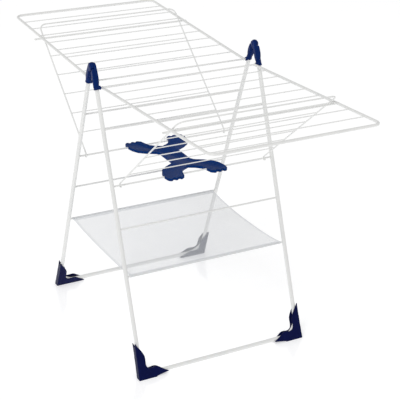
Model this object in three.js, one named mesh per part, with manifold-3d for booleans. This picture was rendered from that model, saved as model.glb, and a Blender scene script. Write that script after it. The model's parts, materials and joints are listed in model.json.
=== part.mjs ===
// A folding clothes drying rack: two A-shaped leg frames joined at two hubs, a wing of wires on each
// side, a bent-wire support under each wing, a cross brace and a stretched net between the leg frames.
// Millimetres, +Z up. X runs along the wires, +Y is the rear, the origin is on the floor at the centre.
import * as THREE from "three";
import { mergeVertices } from "three/addons/utils/BufferGeometryUtils.js";
import Module from "manifold-3d";

// ---- driving dimensions -------------------------------------------------------------------------
const GAP = 0.3; // kept between two pieces that touch
const LEG_X = 300; // leg centres, each side of the middle
const LEG_R = 7;
const TUBE_WALL = 1;
const LEG_TILT = THREE.MathUtils.degToRad(20.2);
const LEG_OFFSET = 9.6; // leg centreline from the hub axis
const HUB_Z = 963;
const CROSSBAR_R = 3;
const CROSSBAR_AT = [206, 391.3, 533, 689.6]; // down the leg from the hub
const SUPPORT_CROSSBAR = 1; // index of the crossbar that carries supports and brace
const BASE_AT = 1017; // base bar, down the leg from the hub
const LEG_BEND = 60; // centreline radius where a leg turns into the base bar

const HUB_R = 14; // knuckle
const HUB_HALF_W = 10;
const SLEEVE_R = 9.2;
const SLEEVE_TOP = 17;
const SLEEVE_END = 79;
const FLARE_R = 10.6;
const PIN_R = 3;

const WING_PIVOT_Y = 35;
const WING_PIVOT_Z = 900;
const WING_RISE = THREE.MathUtils.degToRad(2.56);
const WING_LENGTH = 733;
const RAIL_X = 281.4;
const RAIL_R = 4.5;
const WIRE_R = 1.75;
const WIRE_COUNT = 8;
const PIVOT_ROD_R = 2.8;
const RAIL_BEND = 26;

const STRUT_X = 270;
const STRUT_R = 2.5;
const SUPPORT_LENGTH = 541;
const SUPPORT_BEND = 24;
const MAIN_BAR_R = 3.3;
const MAIN_BAR_X = 302; // half length, with the stub ends
const MAIN_BAR_ALONG = 480; // along the wing, from its pivot
const RUNG_R = 1.75;
const RUNG_AT = [87, 166, 246, 326, 405.5];

const NET_HALF_X = 286;
const NET_THICK = 2;
const NET_SAG = 9;

const WHITE = { color: 0xe4e3de, roughness: 0.36, metalness: 0.0 };
const NAVY = { color: 0x161f4a, roughness: 0.34, metalness: 0.0 };
const BLUE = { color: 0x17356f, roughness: 0.38, metalness: 0.0 };
const MESH_GREY = { color: 0xe2e6ea, roughness: 0.8, metalness: 0.0 };
const STEEL = { color: 0xb9bcc0, roughness: 0.3, metalness: 1.0 };

const SIDES = [
  { name: "rear", s: 1 },
  { name: "front", s: -1 },
];
const ENDS = [
  { name: "left", e: -1 },
  { name: "right", e: 1 },
];
const rack = new THREE.Group();

// ---- solids -------------------------------------------------------------------------------------
const wasm = await Module();
wasm.setup();

function solid(geometry) {
  const bare = geometry.clone();
  bare.deleteAttribute("normal");
  bare.deleteAttribute("uv");
  const merged = mergeVertices(bare, 1e-3);
  return new wasm.Manifold(
    new wasm.Mesh({
      numProp: 3,
      vertProperties: merged.attributes.position.array,
      triVerts: new Uint32Array(merged.index.array),
    }),
  );
}

function geometryOf(manifold) {
  const mesh = manifold.getMesh();
  const geometry = new THREE.BufferGeometry();
  geometry.setAttribute("position", new THREE.BufferAttribute(mesh.vertProperties, 3));
  geometry.setIndex(new THREE.BufferAttribute(mesh.triVerts, 1));
  return geometry;
}

function add(parent, name, geometry, finish) {
  const mesh = new THREE.Mesh(geometry, new THREE.MeshStandardMaterial(finish));
  mesh.name = name;
  parent.add(mesh);
  return mesh;
}

// A section swept along a bent centreline: exactly one ring of vertices at each of its points.
class BentLine extends THREE.Curve {
  constructor(points) {
    super();
    this.points = points;
  }
  getPoint(t) {
    const at = t * (this.points.length - 1);
    const i = Math.min(Math.floor(at), this.points.length - 2);
    return this.points[i].clone().lerp(this.points[i + 1], at - i);
  }
  getSpacedPoints() {
    return this.points;
  }
  getTangentAt(t) {
    const i = Math.round(t * (this.points.length - 1));
    const before = this.points[Math.max(i - 1, 0)];
    const after = this.points[Math.min(i + 1, this.points.length - 1)];
    const here = this.points[i];
    const tangent = new THREE.Vector3();
    if (i > 0) tangent.add(here.clone().sub(before).normalize());
    if (i < this.points.length - 1) tangent.add(after.clone().sub(here).normalize());
    return tangent.normalize();
  }
}

function ring(radius, sides) {
  return Array.from({ length: sides }, (_, i) => {
    const a = ((i + 0.5) / sides) * 2 * Math.PI;
    return new THREE.Vector2(Math.cos(a), Math.sin(a)).multiplyScalar(radius);
  });
}

function swept(points, radius, sides, bore = 0) {
  const shape = new THREE.Shape(ring(radius, sides));
  if (bore > 0) shape.holes.push(new THREE.Path(ring(bore, sides).reverse()));
  return new THREE.ExtrudeGeometry(shape, {
    extrudePath: new BentLine(points),
    steps: points.length - 1,
  });
}

const v3 = (x, y, z) => new THREE.Vector3(x, y, z);

function rod(a, b, radius, sides = 10, bore = 0) {
  return swept([a, b], radius, sides, bore);
}

// The corner from a to c round b, as points on an arc.
function bend(a, b, c, radius, steps = 6) {
  const inDir = b.clone().sub(a).normalize();
  const outDir = c.clone().sub(b).normalize();
  const turn = inDir.angleTo(outDir);
  const back = radius * Math.tan(turn / 2);
  const start = b.clone().addScaledVector(inDir, -back);
  const inward = outDir.clone().addScaledVector(inDir, -inDir.dot(outDir)).normalize();
  const centre = start.clone().addScaledVector(inward, radius);
  return Array.from({ length: steps + 1 }, (_, i) => {
    const angle = (turn * i) / steps;
    return centre
      .clone()
      .addScaledVector(inward, -radius * Math.cos(angle))
      .addScaledVector(inDir, radius * Math.sin(angle));
  });
}

// A disc or drum whose axis is X, between two X positions given in either order.
function drum(radius, [xa, xb], y, z, sides = 24) {
  return rod(v3(Math.min(xa, xb), y, z), v3(Math.max(xa, xb), y, z), radius, sides);
}

// ---- leg frames ---------------------------------------------------------------------------------
// Each frame's group has its origin on the hub axis and -Z down its legs.
function legGroup(s) {
  const group = new THREE.Group();
  group.position.z = HUB_Z;
  group.rotation.x = s * LEG_TILT;
  rack.add(group);
  return group;
}

function down(s, x, along) {
  return v3(x, s * LEG_OFFSET, -along);
}

// A point of a leg frame, in the rack's own frame.
function onLeg(s, x, along) {
  return down(s, x, along)
    .applyAxisAngle(v3(1, 0, 0), s * LEG_TILT)
    .add(v3(0, 0, HUB_Z));
}

const LEG_TOP = 20; // down the leg from the hub

function legFrame({ name, s }, group) {
  const corners = [
    down(s, -LEG_X, LEG_TOP),
    down(s, -LEG_X, BASE_AT),
    down(s, LEG_X, BASE_AT),
    down(s, LEG_X, LEG_TOP),
  ];
  const line = [
    corners[0],
    ...bend(corners[0], corners[1], corners[2], LEG_BEND, 9),
    ...bend(corners[1], corners[2], corners[3], LEG_BEND, 9),
    corners[3],
  ];
  add(group, `${name}_leg_tube`, swept(line, LEG_R, 16, LEG_R - TUBE_WALL), WHITE);
  const half = LEG_X - LEG_R - GAP;
  CROSSBAR_AT.forEach((along, i) => {
    const bar = rod(down(s, -half, along), down(s, half, along), CROSSBAR_R, 12);
    add(group, `${name}_crossbar_${i + 1}`, bar, WHITE);
  });
}

// ---- feet: a moulded channel over the corner of a leg tube, open on its inner side -------------------
const FOOT_HALF_THICK = 10.8;
const FOOT_EDGE = 1.8; // rounding of its long edges

// Outline in the plane of the frame: p runs inwards along the bar, q up the leg.
function footOutline() {
  const shape = new THREE.Shape();
  shape.moveTo(-14, -22);
  shape.lineTo(-13.5, 0);
  shape.bezierCurveTo(-12, 40, -11.5, 70, -10.5, 106);
  shape.lineTo(-6.5, 106);
  shape.bezierCurveTo(-3, 96, 4, 88, 9.5, 78);
  shape.bezierCurveTo(15, 68, 18, 62, 18, 52);
  shape.bezierCurveTo(18, 40, 16, 31, 20, 24);
  shape.bezierCurveTo(25, 17, 33, 16, 42, 18);
  shape.bezierCurveTo(54, 20, 62, 17, 70, 9.5);
  shape.bezierCurveTo(80, 3, 88, -3, 96, -7);
  shape.lineTo(96, -22);
  shape.closePath();
  return shape;
}

// The channel between the foot's two walls: everything inwards of the tube's centreline.
function channelOutline(reach) {
  const line = bend(v3(0, reach, 0), v3(0, 0, 0), v3(reach, 0, 0), LEG_BEND, 9);
  const points = [v3(0, reach, 0), ...line, v3(reach, 0, 0), v3(reach, reach, 0)];
  return new THREE.Shape(points.map((p) => new THREE.Vector2(p.x, p.y)));
}

function foot({ s }, { e }) {
  const outline = new THREE.ExtrudeGeometry(footOutline(), {
    depth: 2 * (FOOT_HALF_THICK - FOOT_EDGE),
    curveSegments: 5,
    bevelEnabled: true,
    bevelThickness: FOOT_EDGE,
    bevelSize: FOOT_EDGE,
    bevelOffset: -FOOT_EDGE,
    bevelSegments: 2,
  });
  outline.translate(0, 0, FOOT_EDGE - FOOT_HALF_THICK);
  const reach = 160;
  const channelHalf = LEG_R + GAP;
  const channel = new THREE.ExtrudeGeometry(channelOutline(reach), {
    depth: 2 * channelHalf,
    bevelEnabled: false,
  });
  channel.translate(0, 0, -channelHalf);
  const line = bend(v3(0, reach, 0), v3(0, 0, 0), v3(reach, 0, 0), LEG_BEND, 9);
  const bore = swept([v3(0, reach, 0), ...line, v3(reach, 0, 0)], channelHalf, 16);
  const inwards = v3(-e, 0, 0);
  const upLeg = v3(0, -s * Math.sin(LEG_TILT), Math.cos(LEG_TILT));
  const basis = new THREE.Matrix4().makeBasis(inwards, upLeg, inwards.clone().cross(upLeg));
  const corner = onLeg(s, e * LEG_X, BASE_AT);
  for (const piece of [outline, channel, bore]) {
    piece.applyMatrix4(basis);
    piece.translate(corner.x, corner.y, corner.z);
  }
  const above = new THREE.BoxGeometry(400, 400, 300).translate(corner.x, corner.y, 150);
  return geometryOf(
    solid(outline).intersect(solid(above)).subtract(solid(channel)).subtract(solid(bore)),
  );
}

// ---- hubs: each half is a sleeve on its leg with half of the pivot knuckle -------------------------
const BOSS_R = 5.8;
const BOSS_REACH = 13; // from the leg centre towards the middle
const ROD_END_X = LEG_X - LEG_R - 2 * GAP;

// The wing's pivot, in the leg frame's own coordinates.
const pivotLocal = (() => {
  const p = v3(0, WING_PIVOT_Y, WING_PIVOT_Z - HUB_Z).applyAxisAngle(v3(1, 0, 0), -LEG_TILT);
  return { y: p.y, z: p.z };
})();

function hubHalf({ s }, { e }) {
  const profile = [
    [0, -SLEEVE_END],
    [FLARE_R, -SLEEVE_END],
    [FLARE_R - 0.5, -SLEEVE_END + 3],
    [SLEEVE_R, -SLEEVE_END + 14],
    [SLEEVE_R, -SLEEVE_TOP - 6],
    [SLEEVE_R - 2.6, -SLEEVE_TOP - 1.5],
    [0, -SLEEVE_TOP],
  ].map(([r, z]) => new THREE.Vector2(r, z));
  const sleeve = new THREE.LatheGeometry(profile, 24).rotateX(Math.PI / 2);
  sleeve.translate(e * LEG_X, s * LEG_OFFSET, 0);
  // The rear half carries the outer knuckle, the front half the inner one.
  const outer = s > 0;
  const span = outer ? [GAP / 2, HUB_HALF_W] : [-HUB_HALF_W, -GAP / 2];
  const otherSpan = outer ? [-HUB_HALF_W, GAP / 2] : [-GAP / 2, HUB_HALF_W];
  const fromLeg = (offsets) => offsets.map((x) => e * (LEG_X + x));
  const own = drum(HUB_R, fromLeg(span), 0, 0, 32);
  const web = new THREE.BoxGeometry(HUB_HALF_W - GAP / 2, 12, 30);
  web.translate(e * (LEG_X + (span[0] + span[1]) / 2), s * (LEG_OFFSET - 2.8), -18);
  const boss = drum(BOSS_R, fromLeg([-BOSS_REACH, 0]), s * pivotLocal.y, pivotLocal.z, 18);
  const other = drum(HUB_R + GAP, fromLeg(otherSpan.map((x) => 2 * x)), 0, 0, 32);
  const legBore = rod(down(s, e * LEG_X, 200), down(s, e * LEG_X, LEG_TOP - GAP), LEG_R + GAP, 20);
  const rodEnds = [e * RAIL_X, e * (ROD_END_X + GAP)];
  const rodBore = drum(PIVOT_ROD_R + GAP, rodEnds, s * pivotLocal.y, pivotLocal.z, 16);
  const pinBore = drum(PIN_R + GAP, fromLeg([-2 * HUB_HALF_W, 2 * HUB_HALF_W]), 0, 0, 20);
  return geometryOf(
    solid(sleeve)
      .subtract(solid(other))
      .add(solid(own))
      .add(solid(web))
      .subtract(solid(other))
      .add(solid(boss))
      .subtract(solid(legBore))
      .subtract(solid(rodBore))
      .subtract(solid(pinBore)),
  );
}

function hubPin({ e }) {
  const half = HUB_HALF_W - 1;
  return drum(PIN_R, [e * LEG_X - half, e * LEG_X + half], 0, HUB_Z, 16);
}

// ---- wings: a bent tube, wires across it and the rod it turns on -----------------------------------
function wing({ name, s }) {
  const group = new THREE.Group();
  group.position.set(0, s * WING_PIVOT_Y, WING_PIVOT_Z);
  group.rotation.x = s * WING_RISE;
  rack.add(group);
  const inner = s * (PIVOT_ROD_R + GAP);
  const outer = s * WING_LENGTH;
  const corners = [
    v3(-RAIL_X, inner, 0),
    v3(-RAIL_X, outer, 0),
    v3(RAIL_X, outer, 0),
    v3(RAIL_X, inner, 0),
  ];
  const line = [
    corners[0],
    ...bend(corners[0], corners[1], corners[2], RAIL_BEND),
    ...bend(corners[1], corners[2], corners[3], RAIL_BEND),
    corners[3],
  ];
  add(group, `${name}_wing_tube`, swept(line, RAIL_R, 12, RAIL_R - TUBE_WALL), WHITE);
  add(group, `${name}_wing_pivot_rod`, drum(PIVOT_ROD_R, [-ROD_END_X, ROD_END_X], 0, 0, 12), WHITE);
  const half = RAIL_X - RAIL_R - GAP;
  for (let i = 1; i <= WIRE_COUNT; i += 1) {
    const y = (s * WING_LENGTH * i) / (WIRE_COUNT + 1);
    add(group, `${name}_wing_wire_${i}`, drum(WIRE_R, [-half, half], y, 0, 8), WHITE);
  }
}

// ---- supports: a bent wire hooked on a crossbar, with a bar under the wing and rungs ----------------
const HOOK_R = CROSSBAR_R + STRUT_R + 2 * GAP; // strut centreline round the crossbar
const HOOK_TURN = THREE.MathUtils.degToRad(208);
const HOOK_STEPS = 8;

function support({ name, s }) {
  const foot = onLeg(s, 0, CROSSBAR_AT[SUPPORT_CROSSBAR]);
  // The main bar lies just under the rails; it sets the angle of the whole support.
  const drop = RAIL_R + MAIN_BAR_R + 2 * GAP;
  const bar = v3(0, MAIN_BAR_ALONG, -drop).applyAxisAngle(v3(1, 0, 0), WING_RISE);
  bar.add(v3(0, WING_PIVOT_Y, WING_PIVOT_Z));
  const run = bar.y - Math.abs(foot.y);
  const rise = bar.z - foot.z;
  const reach = Math.hypot(run, rise);
  // In the support's own plane the bar's centre is a little under the strut's centreline.
  const under = HOOK_R - (STRUT_R + MAIN_BAR_R + GAP);
  const along = Math.sqrt(reach * reach - under * under);
  const angle = Math.atan2(rise, run) - Math.atan2(under, along);
  const group = new THREE.Group();
  group.position.copy(foot);
  group.rotation.x = s * angle;
  rack.add(group);

  // Each end of the wire hooks round the crossbar, in even steps from straight above it.
  const hook = (x) =>
    Array.from({ length: HOOK_STEPS + 1 }, (_, i) => {
      const a = Math.PI / 2 + (HOOK_TURN * i) / HOOK_STEPS;
      return v3(x, s * HOOK_R * Math.cos(a), HOOK_R * Math.sin(a));
    });
  const top = s * SUPPORT_LENGTH;
  const loop = [
    v3(-STRUT_X, 0, HOOK_R),
    v3(-STRUT_X, top, HOOK_R),
    v3(STRUT_X, top, HOOK_R),
    v3(STRUT_X, 0, HOOK_R),
  ];
  const line = [
    ...hook(-STRUT_X).reverse(),
    ...bend(loop[0], loop[1], loop[2], SUPPORT_BEND),
    ...bend(loop[1], loop[2], loop[3], SUPPORT_BEND),
    ...hook(STRUT_X),
  ];
  add(group, `${name}_support_wire`, swept(line, STRUT_R, 10), WHITE);
  const mainBar = drum(MAIN_BAR_R, [-MAIN_BAR_X, MAIN_BAR_X], s * along, under, 12);
  add(group, `${name}_support_main_bar`, mainBar, WHITE);
  const half = STRUT_X - STRUT_R - GAP;
  RUNG_AT.forEach((r, i) => {
    const rung = drum(RUNG_R, [-half, half], s * r, HOOK_R, 8);
    add(group, `${name}_support_rung_${i + 1}`, rung, WHITE);
  });
}

// ---- cross brace: keeps the leg frames apart, turns on the rear crossbar ----------------------------
const BRACE_HALF_THICK = 5;
const BRACE_EDGE = 1.2;
const BRACE_MOUTH_LEAN = THREE.MathUtils.degToRad(32);

// One arm's half outline, from the waist at the side to the notch between two arms.
function braceQuarter() {
  return [
    [35, 0],
    [35, 44],
    [44, 58],
    [72, 74],
    [96, 94],
    [108, 118],
    [113, 148],
    [110, 170],
    [102, 177],
    [62, 176],
    [50, 168],
    [45, 148],
    [38, 126],
    [22, 110],
    [0, 98],
  ];
}

function brace() {
  const quarter = braceQuarter();
  const upper = [...quarter, ...quarter.slice(0, -1).reverse().map(([x, y]) => [-x, y])];
  const lower = upper.slice(1, -1).map(([x, y]) => [-x, -y]);
  const shape = new THREE.Shape([...upper, ...lower].map(([x, y]) => new THREE.Vector2(x, y)));
  const plate = new THREE.ExtrudeGeometry(shape, {
    depth: 2 * (BRACE_HALF_THICK - BRACE_EDGE),
    bevelEnabled: true,
    bevelThickness: BRACE_EDGE,
    bevelSize: BRACE_EDGE,
    bevelOffset: -BRACE_EDGE,
    bevelSegments: 1,
  });
  const rear = onLeg(1, 0, CROSSBAR_AT[SUPPORT_CROSSBAR]);
  plate.translate(0, 0, rear.z - (BRACE_HALF_THICK - BRACE_EDGE));
  const grip = CROSSBAR_R + GAP;
  const width = [-200, 200];
  const rearBore = drum(grip, width, rear.y, rear.z);
  const frontBore = drum(grip, width, -rear.y, rear.z);
  // The rear mouth is narrower than the crossbar and snaps over it.
  const rearMouth = new THREE.BoxGeometry(400, 2 * grip - 1.6, 10);
  rearMouth.translate(0, rear.y, rear.z - 5);
  // The front mouth leans inwards, the way the front crossbar leaves it.
  const frontMouth = new THREE.BoxGeometry(400, 2 * grip, 24).translate(0, 0, -12);
  frontMouth.rotateX(BRACE_MOUTH_LEAN).translate(0, -rear.y, rear.z);
  return geometryOf(
    solid(plate)
      .subtract(solid(rearBore))
      .subtract(solid(rearMouth))
      .subtract(solid(frontBore))
      .subtract(solid(frontMouth)),
  );
}

// ---- net: stretched between the lowest crossbars ---------------------------------------------------
function net() {
  const edge = onLeg(1, 0, CROSSBAR_AT[3]);
  const reach = edge.y - CROSSBAR_R - 2 * GAP;
  const steps = 12;
  const height = (y) => edge.z - NET_SAG * (1 - (y / reach) ** 2);
  const top = Array.from({ length: steps + 1 }, (_, i) => {
    const y = -reach + (2 * reach * i) / steps;
    return new THREE.Vector2(y, height(y) + NET_THICK / 2);
  });
  const under = top.map((p) => new THREE.Vector2(p.x, p.y - NET_THICK)).reverse();
  const section = new THREE.Shape([...top, ...under]);
  const sheet = new THREE.ExtrudeGeometry(section, { depth: 2 * NET_HALF_X, bevelEnabled: false });
  sheet.translate(0, 0, -NET_HALF_X);
  sheet.applyMatrix4(new THREE.Matrix4().makeBasis(v3(0, 1, 0), v3(0, 0, 1), v3(1, 0, 0)));
  return sheet;
}

// ---- the rack ---------------------------------------------------------------------------------------
for (const side of SIDES) {
  const group = legGroup(side.s);
  legFrame(side, group);
  for (const end of ENDS) {
    add(group, `hub_${end.name}_${side.name}`, hubHalf(side, end), BLUE);
    add(rack, `foot_${side.name}_${end.name}`, foot(side, end), NAVY);
  }
  wing(side);
  support(side);
}
for (const end of ENDS) add(rack, `hub_${end.name}_pin`, hubPin(end), STEEL);
add(rack, "cross_brace", brace(), BLUE);
add(rack, "net", net(), MESH_GREY);

export default rack;
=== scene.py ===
import json
import math

import bmesh
import bpy
from mathutils import Matrix, Quaternion, Vector
from mathutils.geometry import interpolate_bezier


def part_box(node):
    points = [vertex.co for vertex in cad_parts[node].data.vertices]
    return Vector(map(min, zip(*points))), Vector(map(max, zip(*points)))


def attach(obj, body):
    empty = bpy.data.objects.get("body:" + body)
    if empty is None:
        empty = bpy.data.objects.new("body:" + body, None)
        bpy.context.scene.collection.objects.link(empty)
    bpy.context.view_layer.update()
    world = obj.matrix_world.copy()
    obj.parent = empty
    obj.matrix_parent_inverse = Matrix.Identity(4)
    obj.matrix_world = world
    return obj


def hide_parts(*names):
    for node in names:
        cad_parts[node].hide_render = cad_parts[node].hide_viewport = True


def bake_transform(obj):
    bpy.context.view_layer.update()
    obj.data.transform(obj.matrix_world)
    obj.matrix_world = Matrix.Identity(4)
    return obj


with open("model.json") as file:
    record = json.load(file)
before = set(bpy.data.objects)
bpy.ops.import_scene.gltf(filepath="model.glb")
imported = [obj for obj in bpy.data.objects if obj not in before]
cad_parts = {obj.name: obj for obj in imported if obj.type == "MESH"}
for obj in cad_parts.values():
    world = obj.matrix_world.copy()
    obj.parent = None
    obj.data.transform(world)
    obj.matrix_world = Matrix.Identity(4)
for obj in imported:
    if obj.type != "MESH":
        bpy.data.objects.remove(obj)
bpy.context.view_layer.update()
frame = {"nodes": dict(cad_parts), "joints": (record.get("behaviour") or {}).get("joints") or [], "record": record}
print("frame loaded:", len(frame["nodes"]), "nodes")

mm = 0.001
sides = {"rear": 1, "front": -1}
ends = {"left": -1, "right": 1}
pivots = {j["name"]: Vector(j["pos_m"]) for j in frame["joints"]}
legs = {"tilt": math.radians(20.2), "offset": 9.6, "spread": 300, "baseAt": 1017, "bend": 60}  # mm


def legPlace(side):
    # a leg frame's own axes, -Z down its legs, from the hub axis
    return Matrix.Translation(pivots["leg_fold"]) @ Matrix.Rotation(side * legs["tilt"], 4, "X")


def outlinePath(start, steps, *segments):
    # corners as (x, y) and curves as (handle, handle, end), all in mm
    points = [Vector((*start, 0))]
    for part in segments:
        if len(part) == 2:
            points.append(Vector((*part, 0)))
            continue
        a, b, c = (Vector((*part[i:i + 2], 0)) for i in (0, 2, 4))
        points += interpolate_bezier(points[-1], a, b, c, steps + 1)[1:]
    return points


def addPlate(bm, points, low, high):
    # a flat outline raised from z low to z high
    rim = [bm.verts.new((p.x, p.y, low)) for p in points]
    face = bm.faces.new(rim)
    grown = bmesh.ops.extrude_face_region(bm, geom=[face])["geom"]
    raised = [g for g in grown if isinstance(g, bmesh.types.BMVert)]
    bmesh.ops.translate(bm, verts=raised, vec=(0, 0, high - low))


def addRod(bm, a, b, radius, radiusB=None, segments=32):
    # a round bar or cone from a to b
    a, b = Vector(a), Vector(b)
    place = Matrix.Translation((a + b) / 2) @ (b - a).to_track_quat("Z", "Y").to_matrix().to_4x4()
    bmesh.ops.create_cone(
        bm, cap_ends=True, segments=segments, radius1=radius,
        radius2=radius if radiusB is None else radiusB, depth=(b - a).length, matrix=place)


def newPiece(name, bm, material):
    bmesh.ops.recalc_face_normals(bm, faces=bm.faces)
    mesh = bpy.data.meshes.new(name)
    bm.to_mesh(mesh)
    bm.free()
    mesh.materials.append(material)
    mesh.shade_smooth()
    piece = bpy.data.objects.new(name, mesh)
    bpy.context.scene.collection.objects.link(piece)
    return piece


def bakeModifiers(piece):
    bpy.context.view_layer.update()
    shaped = piece.evaluated_get(bpy.context.evaluated_depsgraph_get())
    mesh = bpy.data.meshes.new_from_object(shaped)
    piece.modifiers.clear()
    piece.data = mesh
    mesh.shade_smooth()


def meldPiece(name, bm, material, voxel, passes):
    # one moulded skin over overlapping closed shapes, its edges softened
    piece = newPiece(name, bm, material)
    meld = piece.modifiers.new("meld", "REMESH")
    meld.mode, meld.voxel_size, meld.use_smooth_shade = "VOXEL", voxel, True
    soften = piece.modifiers.new("soften", "SMOOTH")
    soften.factor, soften.iterations = 0.5, passes
    bakeModifiers(piece)
    piece.data.materials.clear()
    piece.data.materials.append(material)
    return piece


# surface effects, shared by the finishes
def newGroup(name, inputs, outputs):
    tree = bpy.data.node_groups.new(name, "ShaderNodeTree")
    for label, value in inputs.items():
        socket = tree.interface.new_socket(label, in_out="INPUT", socket_type="NodeSocketFloat")
        socket.default_value = value
    for label in outputs:
        tree.interface.new_socket(label, in_out="OUTPUT", socket_type="NodeSocketFloat")
    return tree, tree.nodes.new("NodeGroupInput"), tree.nodes.new("NodeGroupOutput")


def feedSocket(tree, value, socket):
    # a plain number is set on the socket, another node's output is linked to it
    if isinstance(value, (int, float)):
        socket.default_value = value
    else:
        tree.links.new(value, socket)


def addNoise(tree, coords, scale, detail, roughness=0.5):
    noise = tree.nodes.new("ShaderNodeTexNoise")
    noise.inputs["Detail"].default_value = detail
    noise.inputs["Roughness"].default_value = roughness
    tree.links.new(coords, noise.inputs["Vector"])
    feedSocket(tree, scale, noise.inputs["Scale"])
    return noise.outputs["Fac"]


def addMath(tree, operation, *values):
    node = tree.nodes.new("ShaderNodeMath")
    node.operation = operation
    for i, value in enumerate(values):
        feedSocket(tree, value, node.inputs[i])
    return node.outputs[0]


def addRange(tree, value, low, high, newLow, newHigh):
    node = tree.nodes.new("ShaderNodeMapRange")
    tree.links.new(value, node.inputs["Value"])
    labels = ("From Min", "From Max", "To Min", "To Max")
    for label, number in zip(labels, (low, high, newLow, newHigh)):
        node.inputs[label].default_value = number
    return node.outputs["Result"]


def makeCoatSkin():
    # sprayed and baked paint: fine orange peel, broad thick and thin patches, a few specks
    scales = {"Peel Scale": 700, "Patch Scale": 9}
    tree, given, out = newGroup("coatSkin", scales, ("Height", "Patch", "Speck"))
    coords = tree.nodes.new("ShaderNodeTexCoord").outputs["Object"]
    peel = addNoise(tree, coords, given.outputs["Peel Scale"], 2)
    patch = addNoise(tree, coords, given.outputs["Patch Scale"], 3, 0.6)
    speck = addRange(tree, addNoise(tree, coords, 420, 1), 0.72, 0.8, 0, 1)
    tree.links.new(addMath(tree, "ADD", peel, addMath(tree, "MULTIPLY", speck, 0.6)), out.inputs["Height"])
    tree.links.new(addRange(tree, patch, 0.3, 0.7, 0, 1), out.inputs["Patch"])
    tree.links.new(speck, out.inputs["Speck"])
    return tree


def makeMouldSkin():
    # injection-moulded plastic: spark-eroded grain, flow marks, rubbed patches
    scales = {"Grain Scale": 1500, "Flow Scale": 30}
    tree, given, out = newGroup("mouldSkin", scales, ("Height", "Flow", "Rub"))
    coords = tree.nodes.new("ShaderNodeTexCoord").outputs["Object"]
    grain = addNoise(tree, coords, given.outputs["Grain Scale"], 3, 0.7)
    stretch = tree.nodes.new("ShaderNodeMapping")
    stretch.inputs["Scale"].default_value = (1, 1, 0.25)
    tree.links.new(coords, stretch.inputs["Vector"])
    flow = addNoise(tree, stretch.outputs["Vector"], given.outputs["Flow Scale"], 3, 0.55)
    rub = addNoise(tree, coords, 85, 4, 0.65)
    tree.links.new(grain, out.inputs["Height"])
    tree.links.new(addRange(tree, flow, 0.3, 0.7, 0, 1), out.inputs["Flow"])
    tree.links.new(addRange(tree, rub, 0.52, 0.72, 0, 1), out.inputs["Rub"])
    return tree


def makeNetWeave():
    # square knitted net on the sheet's own UVs, in metres with (0.5, 0.5) at its middle
    sizes = {"Meshes Per Metre": 400, "Thread": 0.3, "Half Width": 0.28, "Half Length": 0.26, "Hem": 0.01}
    tree, given, out = newGroup("netWeave", sizes, ("Thread", "Hem"))
    parts = tree.nodes.new("ShaderNodeSeparateXYZ")
    tree.links.new(tree.nodes.new("ShaderNodeTexCoord").outputs["UV"], parts.inputs[0])
    near, borders = [], []
    for axis, half in (("X", "Half Width"), ("Y", "Half Length")):
        at = addMath(tree, "SUBTRACT", parts.outputs[axis], 0.5)
        cell = addMath(tree, "FRACT", addMath(tree, "MULTIPLY", at, given.outputs["Meshes Per Metre"]))
        off = addMath(tree, "ABSOLUTE", addMath(tree, "SUBTRACT", cell, 0.5))
        hole = addMath(tree, "SUBTRACT", 0.5, given.outputs["Thread"])
        near.append(addMath(tree, "GREATER_THAN", off, hole))
        rim = addMath(tree, "SUBTRACT", given.outputs[half], given.outputs["Hem"])
        borders.append(addMath(tree, "GREATER_THAN", addMath(tree, "ABSOLUTE", at), rim))
    tree.links.new(addMath(tree, "MAXIMUM", *near), out.inputs["Thread"])
    tree.links.new(addMath(tree, "MAXIMUM", *borders), out.inputs["Hem"])
    return tree


coatSkin, mouldSkin, netWeave = makeCoatSkin(), makeMouldSkin(), makeNetWeave()


def newFinish(name, group, values):
    material = bpy.data.materials.new(name)
    material.use_nodes = True
    tree = material.node_tree
    effect = tree.nodes.new("ShaderNodeGroup")
    effect.node_tree = group
    for label, value in values.items():
        effect.inputs[label].default_value = value
    return material, tree, tree.nodes["Principled BSDF"], effect.outputs


def addMix(tree, mask, first, second):
    mix = tree.nodes.new("ShaderNodeMix")
    mix.data_type = "RGBA"
    tree.links.new(mask, mix.inputs[0])
    for socket, value in zip((mix.inputs[6], mix.inputs[7]), (first, second)):
        if isinstance(value, tuple):
            socket.default_value = (*value, 1)
        else:
            tree.links.new(value, socket)
    return mix.outputs[2]


def addBump(tree, shader, height, strength, distance):
    bump = tree.nodes.new("ShaderNodeBump")
    bump.inputs["Strength"].default_value = strength
    bump.inputs["Distance"].default_value = distance
    tree.links.new(height, bump.inputs["Height"])
    tree.links.new(bump.outputs["Normal"], shader.inputs["Normal"])


enamel = {"light": (0.88, 0.88, 0.865), "thin": (0.83, 0.835, 0.825), "speck": (0.62, 0.62, 0.61),
          "rough": (0.3, 0.42), "peel": 0.12, "peelDepth": 0.0004, "coat": 0.25, "coatRough": 0.18,
          "scales": {"Peel Scale": 700, "Patch Scale": 9}}


def makeEnamel():
    material, tree, shader, skin = newFinish("whiteEnamel", coatSkin, enamel["scales"])
    tint = addMix(tree, skin["Patch"], enamel["light"], enamel["thin"])
    tree.links.new(addMix(tree, skin["Speck"], tint, enamel["speck"]), shader.inputs["Base Color"])
    tree.links.new(addRange(tree, skin["Patch"], 0, 1, *enamel["rough"]), shader.inputs["Roughness"])
    addBump(tree, shader, skin["Height"], enamel["peel"], enamel["peelDepth"])
    shader.inputs["Coat Weight"].default_value = enamel["coat"]
    shader.inputs["Coat Roughness"].default_value = enamel["coatRough"]
    return material


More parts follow.
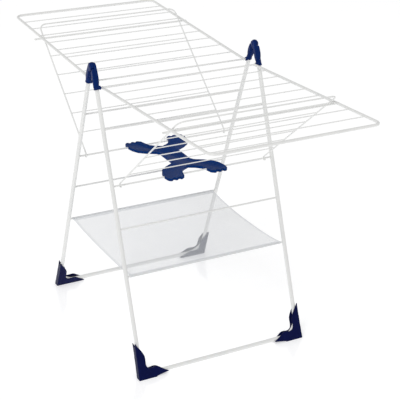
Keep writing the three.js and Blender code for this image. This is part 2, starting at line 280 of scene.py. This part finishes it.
plastics = {
    "foot": {"base": (0.0008, 0.003, 0.045), "flow": (0.001, 0.004, 0.056), "rubbed": (0.003, 0.007, 0.066),
             "rough": (0.3, 0.42), "gloss": 0.08},
    "hub": {"base": (0.001, 0.014, 0.1), "flow": (0.001, 0.019, 0.125), "rubbed": (0.004, 0.027, 0.15),
            "rough": (0.22, 0.34), "gloss": 0.08},
    "brace": {"base": (0.001, 0.024, 0.135), "flow": (0.001, 0.03, 0.16), "rubbed": (0.004, 0.038, 0.19),
              "rough": (0.32, 0.44), "gloss": 0.03}}
moulding = {"scales": {"Grain Scale": 1500, "Flow Scale": 30}, "grain": 0.1, "grainDepth": 0.0003}


def makePlastic(kind):
    look = plastics[kind]
    material, tree, shader, skin = newFinish(f"{kind}Plastic", mouldSkin, moulding["scales"])
    tint = addMix(tree, skin["Flow"], look["base"], look["flow"])
    tree.links.new(addMix(tree, skin["Rub"], tint, look["rubbed"]), shader.inputs["Base Color"])
    tree.links.new(addRange(tree, skin["Rub"], 0, 1, *look["rough"]), shader.inputs["Roughness"])
    addBump(tree, shader, skin["Height"], moulding["grain"], moulding["grainDepth"])
    shader.inputs["Specular IOR Level"].default_value = look["gloss"]
    return material


pin = {"rings": (3000, 40, 40), "dark": (0.5, 0.5, 0.51), "light": (0.66, 0.66, 0.67), "rough": (0.25, 0.42)}


def makePinSteel():
    # turned steel: fine rings round the pin
    material = bpy.data.materials.new("pinSteel")
    material.use_nodes = True
    tree = material.node_tree
    shader = tree.nodes["Principled BSDF"]
    stretch = tree.nodes.new("ShaderNodeMapping")
    stretch.inputs["Scale"].default_value = pin["rings"]
    tree.links.new(tree.nodes.new("ShaderNodeTexCoord").outputs["Object"], stretch.inputs["Vector"])
    rings = addNoise(tree, stretch.outputs["Vector"], 1, 3)
    tree.links.new(addMix(tree, rings, pin["dark"], pin["light"]), shader.inputs["Base Color"])
    tree.links.new(addRange(tree, rings, 0.3, 0.7, *pin["rough"]), shader.inputs["Roughness"])
    shader.inputs["Metallic"].default_value = 1
    return material


whiteEnamel = makeEnamel()
footPlastic, hubPlastic, bracePlastic = (makePlastic(kind) for kind in plastics)
pinSteel = makePinSteel()
print("finishes made")


# tubes and wires: the frame's own nodes, smoothed and painted
rounds = {"weld": 2e-5, "sharp": math.radians(50)}


def makeSmoothRounds():
    # welds a node's loose triangles and smooths all but its real edges
    tree = bpy.data.node_groups.new("smoothRounds", "GeometryNodeTree")
    for way in ("INPUT", "OUTPUT"):
        tree.interface.new_socket("Geometry", in_out=way, socket_type="NodeSocketGeometry")
    given, out = tree.nodes.new("NodeGroupInput"), tree.nodes.new("NodeGroupOutput")
    weld = tree.nodes.new("GeometryNodeMergeByDistance")
    weld.inputs["Distance"].default_value = rounds["weld"]
    bare = tree.nodes.new("GeometryNodeRemoveAttribute")
    bare.inputs["Name"].default_value = "custom_normal"
    smooth = tree.nodes.new("GeometryNodeSetShadeSmooth")
    sharp = tree.nodes.new("GeometryNodeSetShadeSmooth")
    sharp.domain = "EDGE"
    sharp.inputs["Shade Smooth"].default_value = False
    steep = tree.nodes.new("FunctionNodeCompare")
    steep.operation = "GREATER_THAN"
    steep.inputs[1].default_value = rounds["sharp"]
    angle = tree.nodes.new("GeometryNodeInputMeshEdgeAngle")
    tree.links.new(angle.outputs[0], steep.inputs[0])
    tree.links.new(steep.outputs[0], sharp.inputs["Selection"])
    line = [given, weld, bare, smooth, sharp, out]
    for first, second in zip(line, line[1:]):
        tree.links.new(first.outputs[0], second.inputs[0])
    return tree


smoothRounds = makeSmoothRounds()
slotFinish = {"white_enamel": whiteEnamel, "hub_plastic": hubPlastic, "foot_plastic": footPlastic,
              "brace_plastic": bracePlastic, "hub_pin_steel": pinSteel}
nodeSlot = {s["node"]: s["material_slot"] for s in frame["record"]["subparts"]}
for name, node in frame["nodes"].items():
    if nodeSlot[name] not in slotFinish:
        continue
    for slot in node.material_slots:
        slot.material = slotFinish[nodeSlot[name]]
    node.modifiers.new("smoothRounds", "NODES").node_group = smoothRounds
print("tubes and wires painted")

# welds: a small bead wherever a wire meets its tube, sizes and places in mm
weldSize = {"wing_wire": (1.3, 2.5, 2.5), "support_rung": (1.3, 2.4, 2.4), "crossbar": (1.5, 3.9, 3.9)}
railWeld = {"x": 281.4, "out": 1.8, "size": (5.1, 4.3, 5.1)}  # wing rail to pivot rod
# strut to main bar
strutWeld = {"x": 270, "above": 3.4, "lean": math.radians(40.26), "size": (3.4, 2.8, 2.8)}
barEnd = {"x": 302, "size": (1.6, 3.25, 3.25)}  # rounded ends of the main bar


def addBead(bm, at, size, detail=1):
    place = Matrix.Translation(at) @ Matrix.Diagonal((*(v * mm for v in size), 1))
    bmesh.ops.create_icosphere(bm, subdivisions=detail, radius=1, matrix=place)


def middleOf(node):
    low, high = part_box(node)
    return (low + high) / 2


def addWelds(side, body):
    bm = bmesh.new()
    for kind, size in weldSize.items():
        prefix = f"{side}_{kind}"
        for node in sorted(n for n in frame["nodes"] if n.startswith(prefix) and nodeBody[n] == body):
            middle = middleOf(node)
            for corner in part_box(node):
                addBead(bm, (corner.x, middle.y, middle.z), size)
    if body.endswith("wing"):
        pivot = pivots[f"{side}_wing_lift"]
        for e in ends.values():
            at = pivot + Vector((e * railWeld["x"], sides[side] * railWeld["out"], 0)) * mm
            addBead(bm, at, railWeld["size"], 2)
    if body.endswith("support"):
        middle = middleOf(f"{side}_support_main_bar")
        lean = strutWeld["lean"]
        upStrut = Vector((0, -sides[side] * math.sin(lean), math.cos(lean))) * strutWeld["above"] * mm
        for e in ends.values():
            addBead(bm, Vector((e * strutWeld["x"] * mm, middle.y, middle.z)) + upStrut, strutWeld["size"])
            addBead(bm, (e * barEnd["x"] * mm, middle.y, middle.z), barEnd["size"], 2)
    piece = newPiece(body.replace("_", " ").title().replace(" ", "") + "Welds", bm, whiteEnamel)
    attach(piece, body)


nodeBody = {n: b for b, names in frame["record"]["behaviour"]["bodies"].items() for n in names}
for side in sides:
    for part in ("frame", "wing", "support"):
        addWelds(side, f"{side}_{part}")
print("welds added")

# feet: moulded channels over the tube's corners, outlines in mm
footShape = {
    "halfThick": 10.8, "wall": 3.5, "inset": 0.5, "voxel": 0.9, "passes": 4, "sharp": math.radians(55),
    "heel": [(-14, -22), (-13.5, 0)],
    "wallBack": [(-12, 40, -11.5, 70, -11, 108), (-9, 108)],
    "wallFront": [(-5, 97, 4, 88, 9.5, 78), (15, 68, 18, 62, 18, 52), (18, 40, 16, 31, 20, 24),
                  (25, 17, 33, 16, 42, 18), (54, 20, 62, 17, 70, 9.5), (80, 3, 88, -3, 97, -7.5),
                  (80, -9.4, 66, -11.5, 52, -14.5), (48, -22)],
    "coreBack": [(-12, 40, -11.5, 70, -11.2, 98), (-6, 92), (0, 84)],
    "coreFront": [(84, 0), (92, -7), (66, -11.5), (52, -14.5), (48, -22)]}


def makeFoot(name):
    # x runs inwards along the bar, y up the leg, z through the channel
    shape, r = footShape, legs["bend"]
    heel = shape["heel"]
    bend = (0, r * 0.448, r * 0.448, 0, r, 0)  # a quarter turn along the tube
    wall = outlinePath(heel[0], 8, heel[1], *shape["wallBack"], *shape["wallFront"])
    core = outlinePath(heel[0], 8, heel[1], *shape["coreBack"], (0, r), bend, *shape["coreFront"])
    half, thick, inset = shape["halfThick"], shape["wall"], shape["inset"]
    bm = bmesh.new()
    addPlate(bm, wall, half - thick, half)
    addPlate(bm, wall, -half, thick - half)
    addPlate(bm, core, inset - half, half - inset)
    bmesh.ops.scale(bm, verts=bm.verts, vec=(mm, mm, mm))
    return meldPiece(name, bm, footPlastic, shape["voxel"] * mm, shape["passes"])


def cutAtFloor(piece):
    bm = bmesh.new()
    bm.from_mesh(piece.data)
    bmesh.ops.bisect_plane(
        bm, geom=bm.verts[:] + bm.edges[:] + bm.faces[:], plane_co=(0, 0, 0),
        plane_no=(0, 0, 1), clear_inner=True, dist=1e-6)
    bmesh.ops.holes_fill(bm, edges=[e for e in bm.edges if e.is_boundary], sides=0)
    bm.to_mesh(piece.data)
    bm.free()
    piece.data.set_sharp_from_angle(angle=footShape["sharp"])


for sideName, s in sides.items():
    for endName, e in ends.items():
        piece = makeFoot(f"foot{sideName.title()}{endName.title()}")
        inwards = Vector((-e, 0, 0))
        upLeg = (legPlace(s).to_3x3() @ Vector((0, 0, 1))).normalized()
        corner = legPlace(s) @ (Vector((e * legs["spread"], s * legs["offset"], -legs["baseAt"])) * mm)
        basis = Matrix((inwards, upLeg, inwards.cross(upLeg))).transposed().to_4x4()
        piece.data.transform(Matrix.Translation(corner) @ basis)
        cutAtFloor(piece)
        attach(piece, f"{sideName}_frame")
        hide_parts(f"foot_{sideName}_{endName}")
print("feet made")

# hubs: each half is a tongue over its leg with half the knuckle, in mm
hubShape = {
    "radius": 14, "halfWidth": 10, "crown": 1.5, "gap": 0.15, "chamfer": 2.2, "sleeve": 9.4, "rearEnd": 70,
    "frontEnd": 77, "flare": 10.6, "flareRun": 15, "bossReach": 13, "boss": 6.0, "bossLip": 6.9, "voxel": 0.7,
    "passes": 12,
    "tongue": [(14, 4, 9, 10.5, 5, 11), (-5, 11), (-9, 9, -12.4, 4, -12.4, 0),
               (-12.2, -6, -10, -12, -4, -15.5), (0.4, -19), (0.6, -42), (0.8, -54, 4, -62, 9.6, -64),
               (15, -62, 18.2, -54, 18.8, -42), (19.4, -32, 16.6, -16, 14, 0)],
    "shoulder": [(17.4, -15, 18.8, -24, 18.8, -34), (18.2, -46, 15, -54, 9.6, -56),
                 (5, -54, 2, -46, 2, -34), (1.6, -17.5), (6, -16.8, 9.5, -15, 12.2, -11.5)],
    "shoulderStart": (14.9, -8.5)}
# turns a plate's z to the rack's x
acrossLeg = Matrix(((0, 0, 1, 0), (1, 0, 0, 0), (0, 1, 0, 0), (0, 0, 0, 1)))


def addDome(bm, outwards):
    # half of a rounded knuckle, flat where it meets the other half
    r, w = hubShape["radius"], hubShape["halfWidth"]
    start = len(bm.verts)
    place = Matrix.Diagonal((w + hubShape["crown"], r, r, 1))
    bmesh.ops.create_icosphere(bm, subdivisions=4, radius=1, matrix=place)
    bm.verts.ensure_lookup_table()
    new = bm.verts[start:]
    parts = new + list({e for v in new for e in v.link_edges}) + list({f for v in new for f in v.link_faces})
    cut = bmesh.ops.bisect_plane(
        bm, geom=parts, plane_co=(outwards * hubShape["gap"], 0, 0), plane_no=(outwards, 0, 0),
        clear_inner=True)["geom_cut"]
    bmesh.ops.holes_fill(bm, edges=[g for g in cut if isinstance(g, bmesh.types.BMEdge)], sides=0)


def addCheek(bm, points, low, high, outwards):
    # a plate across the leg whose outer face is drawn in all round
    before, chamfer = set(bm.verts), hubShape["chamfer"]
    top = high - chamfer
    addPlate(bm, points, low, top)
    faces = [f for f in bm.faces if not set(f.verts) & before and min(v.co.z for v in f.verts) > top - 0.01]
    bmesh.ops.inset_region(bm, faces=faces, thickness=chamfer, depth=0)
    bmesh.ops.translate(bm, verts=list({v for f in faces for v in f.verts}), vec=(0, 0, chamfer))
    turned = Matrix.Diagonal((outwards, 1, 1, 1)) @ acrossLeg
    bmesh.ops.transform(bm, verts=[v for v in bm.verts if v not in before], matrix=turned)


def makeHubHalf(name, s, e):
    # on the leg's own axes, with the leg at x = 0; x runs outwards
    shape, y = hubShape, legs["offset"]
    outwards = 1 if s > 0 else -1  # the rear half has the outer side of the knuckle
    w, sleeve, reach = shape["halfWidth"], shape["sleeve"], shape["bossReach"]
    end = shape["rearEnd" if s > 0 else "frontEnd"]
    bm = bmesh.new()
    addCheek(bm, outlinePath((shape["radius"], 0), 5, *shape["tongue"]), shape["gap"], w, outwards)
    addCheek(bm, outlinePath(shape["shoulderStart"], 5, *shape["shoulder"]), -1, w - 0.5, -outwards)
    addDome(bm, outwards)
    addRod(bm, (0, y, -19), (0, y, -27), 5.5, sleeve)
    addRod(bm, (0, y, -26), (0, y, -end), sleeve)
    addRod(bm, (0, y + 1, -end), (0, y, shape["flareRun"] - end), shape["flare"], sleeve - 0.6)
    addRod(bm, (8.2, y, -30), (8.6, y, 8 - end), 1.6, 2.4, segments=16)  # ridge down the outer side
    pivot = (legPlace(1).inverted() @ pivots["rear_wing_lift"]) / mm
    tip = (-reach, pivot.y, pivot.z)
    addRod(bm, (0, pivot.y, pivot.z), tip, shape["boss"])
    addRod(bm, (2.5 - reach, pivot.y, pivot.z), tip, shape["bossLip"])
    bmesh.ops.transform(bm, verts=bm.verts, matrix=Matrix.Diagonal((e * mm, s * mm, mm, 1)))
    return meldPiece(name, bm, hubPlastic, shape["voxel"] * mm, shape["passes"])


for sideName, s in sides.items():
    for endName, e in ends.items():
        piece = makeHubHalf(f"hub{endName.title()}{sideName.title()}", s, e)
        piece.data.transform(legPlace(s) @ Matrix.Translation((e * legs["spread"] * mm, 0, 0)))
        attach(piece, f"{sideName}_frame")
        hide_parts(f"hub_{endName}_{sideName}")
print("hubs made")

# cross brace: a flat four-armed moulding clipped over the second crossbars, in mm
braceShape = {
    "halfThick": 5, "rim": 3.2, "sunk": 1.5, "edge": 0.8, "grip": 3.3, "rearMouth": 2.4, "frontMouth": 3.25,
    "mouthLean": math.radians(32), "mouthDeep": 18, "cutReach": 200, "sharp": math.radians(40),
    "quarter": [(35, 0), (35, 44), (44, 58), (72, 74), (96, 94), (108, 118), (113, 148), (110, 170),
                (103, 177), (96, 177), (94, 171), (87, 171), (85, 177), (77, 177), (75, 171), (68, 171),
                (66, 177), (60, 176), (50, 168), (45, 148), (38, 126), (22, 110), (0, 98)]}


def braceOutline():
    quarter = braceShape["quarter"]
    upper = quarter + [(-x, y) for x, y in reversed(quarter[:-1])]
    return [Vector((x, y, 0)) for x, y in upper + [(-x, -y) for x, y in upper[1:-1]]]


def clipMouth(halfMouth, lean, at):
    # the space a crossbar and its way in take from the moulding, right across it
    grip, deep, reach = (braceShape[key] for key in ("grip", "mouthDeep", "cutReach"))
    start = math.asin(halfMouth / grip)
    turns = [start + (2 * math.pi - 2 * start) * i / 24 for i in range(25)]
    outline = [Vector((grip * math.sin(a), -grip * math.cos(a), 0)) for a in turns]
    outline += [Vector((-halfMouth, -deep, 0)), Vector((halfMouth, -deep, 0))]
    bm = bmesh.new()
    addPlate(bm, outline, -reach, reach)
    place = Matrix.Translation(at) @ Matrix.Rotation(lean, 4, "X") @ acrossLeg
    bmesh.ops.transform(bm, verts=bm.verts, matrix=Matrix.Scale(mm, 4) @ place)
    return newPiece("clipMouth", bm, bracePlastic)


def makeBrace():
    half, sunk = braceShape["halfThick"], braceShape["sunk"]
    bar = pivots["brace_swing"] / mm
    bm = bmesh.new()
    addPlate(bm, braceOutline(), -half, half)
    bmesh.ops.recalc_face_normals(bm, faces=bm.faces)
    for face in [f for f in bm.faces if abs(f.normal.z) > 0.9]:
        bmesh.ops.inset_region(bm, faces=[face], thickness=braceShape["rim"], depth=0)
        bmesh.ops.translate(bm, verts=face.verts, vec=(0, 0, -math.copysign(sunk, face.normal.z)))
    bmesh.ops.bevel(
        bm, geom=[g for g in bm.edges if g.calc_face_angle(0) > 0.6], offset=braceShape["edge"],
        affect="EDGES", segments=2, profile=0.5, material=-1, clamp_overlap=True)
    place = Matrix.Scale(mm, 4) @ Matrix.Translation((0, 0, bar.z))
    bmesh.ops.transform(bm, verts=bm.verts, matrix=place)
    piece = newPiece("crossBrace", bm, bracePlastic)
    cutters = [clipMouth(braceShape["rearMouth"], 0, (0, bar.y, bar.z)),
               clipMouth(braceShape["frontMouth"], braceShape["mouthLean"], (0, -bar.y, bar.z))]
    for cutter in cutters:
        cut = piece.modifiers.new("clip", "BOOLEAN")
        cut.operation, cut.solver, cut.object = "DIFFERENCE", "EXACT", cutter
    bakeModifiers(piece)
    for cutter in cutters:
        bpy.data.objects.remove(cutter)
    piece.data.set_sharp_from_angle(angle=braceShape["sharp"])
    return piece


piece = makeBrace()
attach(piece, "brace")
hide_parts("cross_brace")
print("brace made")

# net: one stretched sheet whose ends wrap the lowest crossbars, in mm
netShape = {
    "halfWidth": 286, "wrapRadius": 3.9, "wrapTurn": math.radians(300), "hem": 14, "sag": 9, "pull": 2.5,
    "ripple": 0.7, "droop": 2.2, "blendInset": 20, "cells": (64, 190)}
netLook = {
    "Meshes Per Metre": 380, "Thread": 0.17, "Half Width": netShape["halfWidth"] * mm, "Hem": 0.009}
netTint = {"dark": (0.85, 0.87, 0.90), "light": (0.91, 0.925, 0.94), "hole": 0.2, "thread": 0.72,
           "rough": 0.62, "sheen": 0.15}


def netPoint(across, along, bar):
    # the sheet's place for a point of the flat cut, measured from its middle
    r, turn, reach = netShape["wrapRadius"], netShape["wrapTurn"], bar.y
    side, run = math.copysign(1, along), abs(along)
    if run <= reach:
        t = run / reach
        y, z = run, bar.z + r * t ** 6 - netShape["sag"] * (1 - t * t)
    elif run <= reach + r * turn:
        a = (run - reach) / r
        y, z = reach + r * math.sin(a), bar.z + r * math.cos(a)
    else:
        back = run - reach - r * turn  # the hem, under the sheet
        y = reach + r * math.sin(turn) - back * 0.97
        z = bar.z + r * math.cos(turn) - back * 0.2
        z = min(z, bar.z - netShape["sag"] * (1 - (y / reach) ** 2) - 0.7)
    t = min(run / reach, 1)
    slack = 1 - t ** 4
    edge = abs(across) / netShape["halfWidth"]
    x = across * (1 - netShape["pull"] * (1 - t * t) / netShape["halfWidth"])
    wave = math.sin(x * 0.031 + side * 0.8) + 0.6 * math.sin(x * 0.083 + along * 0.012)
    z += netShape["ripple"] * slack * wave
    z -= netShape["droop"] * slack * edge ** 6
    return Vector((x, side * y, z))


def makeNetMesh(halfLength):
    material, tree, shader, weave = newFinish("netMesh", netWeave, {**netLook, "Half Length": halfLength})
    coords = tree.nodes.new("ShaderNodeTexCoord").outputs["Object"]
    tint = addMix(tree, addNoise(tree, coords, 22, 3), netTint["dark"], netTint["light"])
    tree.links.new(tint, shader.inputs["Base Color"])
    cover = addRange(tree, weave["Thread"], 0, 1, netTint["hole"], netTint["thread"])
    hem = addMath(tree, "MULTIPLY", weave["Hem"], netTint["thread"])
    tree.links.new(addMath(tree, "MAXIMUM", cover, hem), shader.inputs["Alpha"])
    addBump(tree, shader, weave["Thread"], 0.3, 0.0003)
    shader.inputs["Roughness"].default_value = netTint["rough"]
    shader.inputs["Sheen Weight"].default_value = netTint["sheen"]
    return material


def makeNet(bar, halfLength):
    bm = bmesh.new()
    columns, rows = netShape["cells"]
    bmesh.ops.create_grid(bm, x_segments=columns, y_segments=rows, size=1)
    bmesh.ops.scale(bm, verts=bm.verts, vec=(netShape["halfWidth"], halfLength, 1))
    layer = bm.loops.layers.uv.new("netUV")
    for face in bm.faces:
        for loop in face.loops:
            loop[layer].uv = (loop.vert.co.x * mm + 0.5, loop.vert.co.y * mm + 0.5)
    for vert in bm.verts:
        vert.co = netPoint(vert.co.x, vert.co.y, bar) * mm
    return newPiece("dryingNet", bm, makeNetMesh(halfLength * mm))


bar = middleOf("rear_crossbar_4") / mm
halfLength = bar.y + netShape["wrapRadius"] * netShape["wrapTurn"] + netShape["hem"]
piece = makeNet(bar, halfLength)
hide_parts("net")
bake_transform(piece)
print("net stretched")

# floor, light and camera
studio = {"floor": (0.8, 0.8, 0.805), "floorRough": 0.1, "gloss": 1.0, "glow": 0.44, "sky": 0.6}
lamps = {"key": {"at": (-7.8, -5.4, 10.2), "size": 4.8, "power": 400},
         "fill": {"at": (9.0, -7.8, 6.6), "size": 7.2, "power": 45}}
lampAim = Vector((0, 0, 0.4))


def makeFloor():
    bm = bmesh.new()
    bmesh.ops.create_grid(bm, x_segments=1, y_segments=1, size=60)
    material = bpy.data.materials.new("studioFloor")
    material.use_nodes = True
    tree = material.node_tree
    shader = tree.nodes["Principled BSDF"]
    coords = tree.nodes.new("ShaderNodeTexCoord").outputs["Object"]
    low = tuple(c * 0.985 for c in studio["floor"])
    shade = addMix(tree, addNoise(tree, coords, 3, 2), studio["floor"], low)
    tree.links.new(shade, shader.inputs["Base Color"])
    shader.inputs["Roughness"].default_value = studio["floorRough"]
    shader.inputs["Specular IOR Level"].default_value = studio["gloss"]
    shader.inputs["Emission Color"].default_value = (1, 1, 1, 1)
    shader.inputs["Emission Strength"].default_value = studio["glow"]
    newPiece("studioFloor", bm, material)


def lightRoom():
    # white behind the floor's edge, softer as a light
    world = bpy.data.worlds.new("studio")
    world.use_nodes = True
    tree = world.node_tree
    sky = tree.nodes["Background"].inputs
    sky["Color"].default_value = (1, 1, 1, 1)
    seen = tree.nodes.new("ShaderNodeLightPath").outputs["Is Camera Ray"]
    tree.links.new(addMath(tree, "MAXIMUM", seen, studio["sky"]), sky["Strength"])
    bpy.context.scene.world = world


def addLamp(name, at, size, power):
    lamp = bpy.data.lights.new(name, "AREA")
    lamp.shape, lamp.size, lamp.energy = "DISK", size, power
    holder = bpy.data.objects.new(name, lamp)
    holder.location = at
    holder.rotation_euler = (lampAim - Vector(at)).to_track_quat("-Z", "Y").to_euler()
    bpy.context.scene.collection.objects.link(holder)


makeFloor()
lightRoom()
for name, lamp in lamps.items():
    addLamp(name, **lamp)

view = {"at": (-1.7012, -3.3560, 2.1278), "towards": (0.43130, 0.80373, -0.40987),
        "roll": math.radians(0.9899), "lens": 106.49, "sensor": 36}
camera = bpy.data.objects.new("camera", bpy.data.cameras.new("camera"))
camera.data.lens, camera.data.sensor_width = view["lens"], view["sensor"]
camera.data.clip_start, camera.data.clip_end = 0.05, 200
camera.location = view["at"]
camera.rotation_mode = "QUATERNION"
turn = Quaternion((0, 0, 1), view["roll"])
camera.rotation_quaternion = Vector(view["towards"]).to_track_quat("-Z", "Y") @ turn
bpy.context.scene.collection.objects.link(camera)
bpy.context.scene.camera = camera
bpy.context.scene.view_settings.view_transform = "Standard"
print("studio set")
